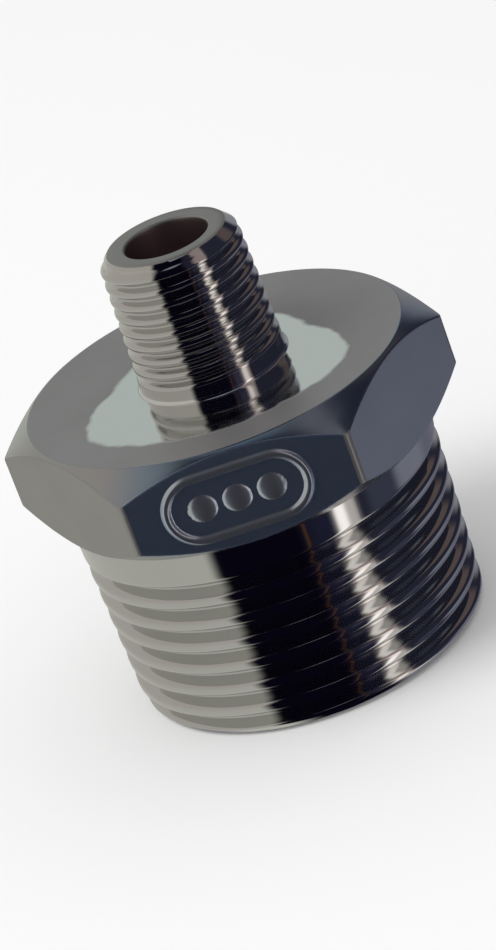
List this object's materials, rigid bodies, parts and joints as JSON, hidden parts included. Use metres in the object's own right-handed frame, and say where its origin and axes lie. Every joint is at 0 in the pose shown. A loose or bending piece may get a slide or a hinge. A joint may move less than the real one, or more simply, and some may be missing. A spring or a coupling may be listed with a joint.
{
  "type": "reducing nipple",
  "caption": "Stainless steel reducing nipple: a spanner hexagon with a large male taper thread below, a small one above and a stepped bore right through.",
  "frame": {"origin": "centre of the large end face, where the fitting stands", "axes": "+Z along the bore to the small end; -Y out of the marked flat of the hexagon; +X through a corner of the hexagon"},
  "size_m": [0.0408, 0.0359, 0.0416],
  "materials": {
    "stainless_steel": "cast and turned stainless steel, satin on the flats, bright on the threads"
  },
  "bodies": {
    "root": {"reducing_nipple": "stainless_steel"}
  },
  "joints": []
}
